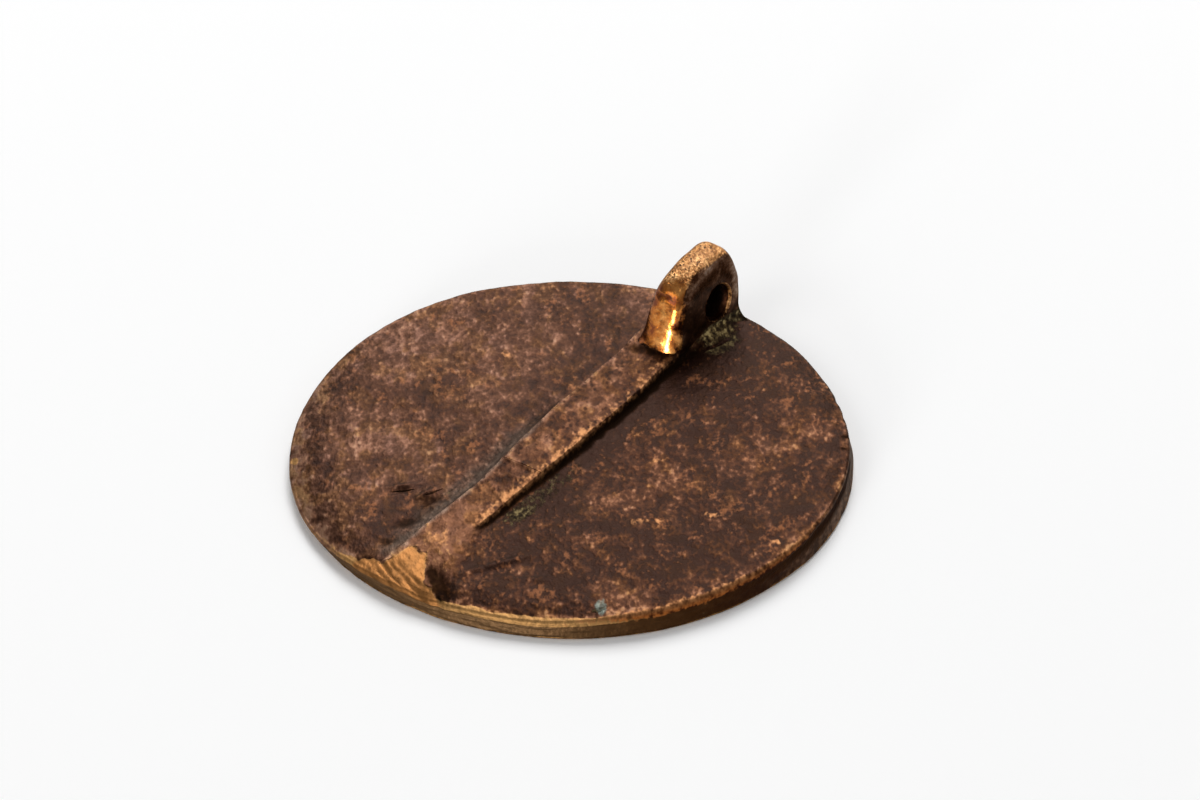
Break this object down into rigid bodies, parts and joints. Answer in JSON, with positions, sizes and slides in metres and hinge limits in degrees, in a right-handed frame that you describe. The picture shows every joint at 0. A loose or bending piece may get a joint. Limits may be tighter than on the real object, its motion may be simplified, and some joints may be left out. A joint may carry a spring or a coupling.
{
  "type": "seal matrix",
  "caption": "Flat round seal matrix with an engraved die face, a low strip across its back and a pierced lug for a cord at the rim.",
  "frame": {"origin": "middle of the die face, on the face itself", "axes": "+Z from the die face out through the back, square to the plate; +Y from the plate's middle towards the pierced lug; +X to the right of that, seen from the back"},
  "size_m": [0.0256, 0.0256, 0.0051],
  "materials": {
    "patinated_alloy": "dark brown patina with copper-coloured speckles where it has worn through",
    "filed_alloy": "bare yellow metal with parallel file marks, dulled",
    "corroded_fillet": "dull grey-green, granular",
    "worn_alloy": "pitted, polished bright by handling on its front, dark on its flanks"
  },
  "bodies": {
    "root": {"die_plate": "patinated_alloy", "back_rib": "patinated_alloy", "rib_filed_toe": "filed_alloy", "rib_fillet": "corroded_fillet", "suspension_lug": "worn_alloy", "lug_fillet_right": "corroded_fillet", "lug_fillet_left": "corroded_fillet"}
  },
  "joints": []
}
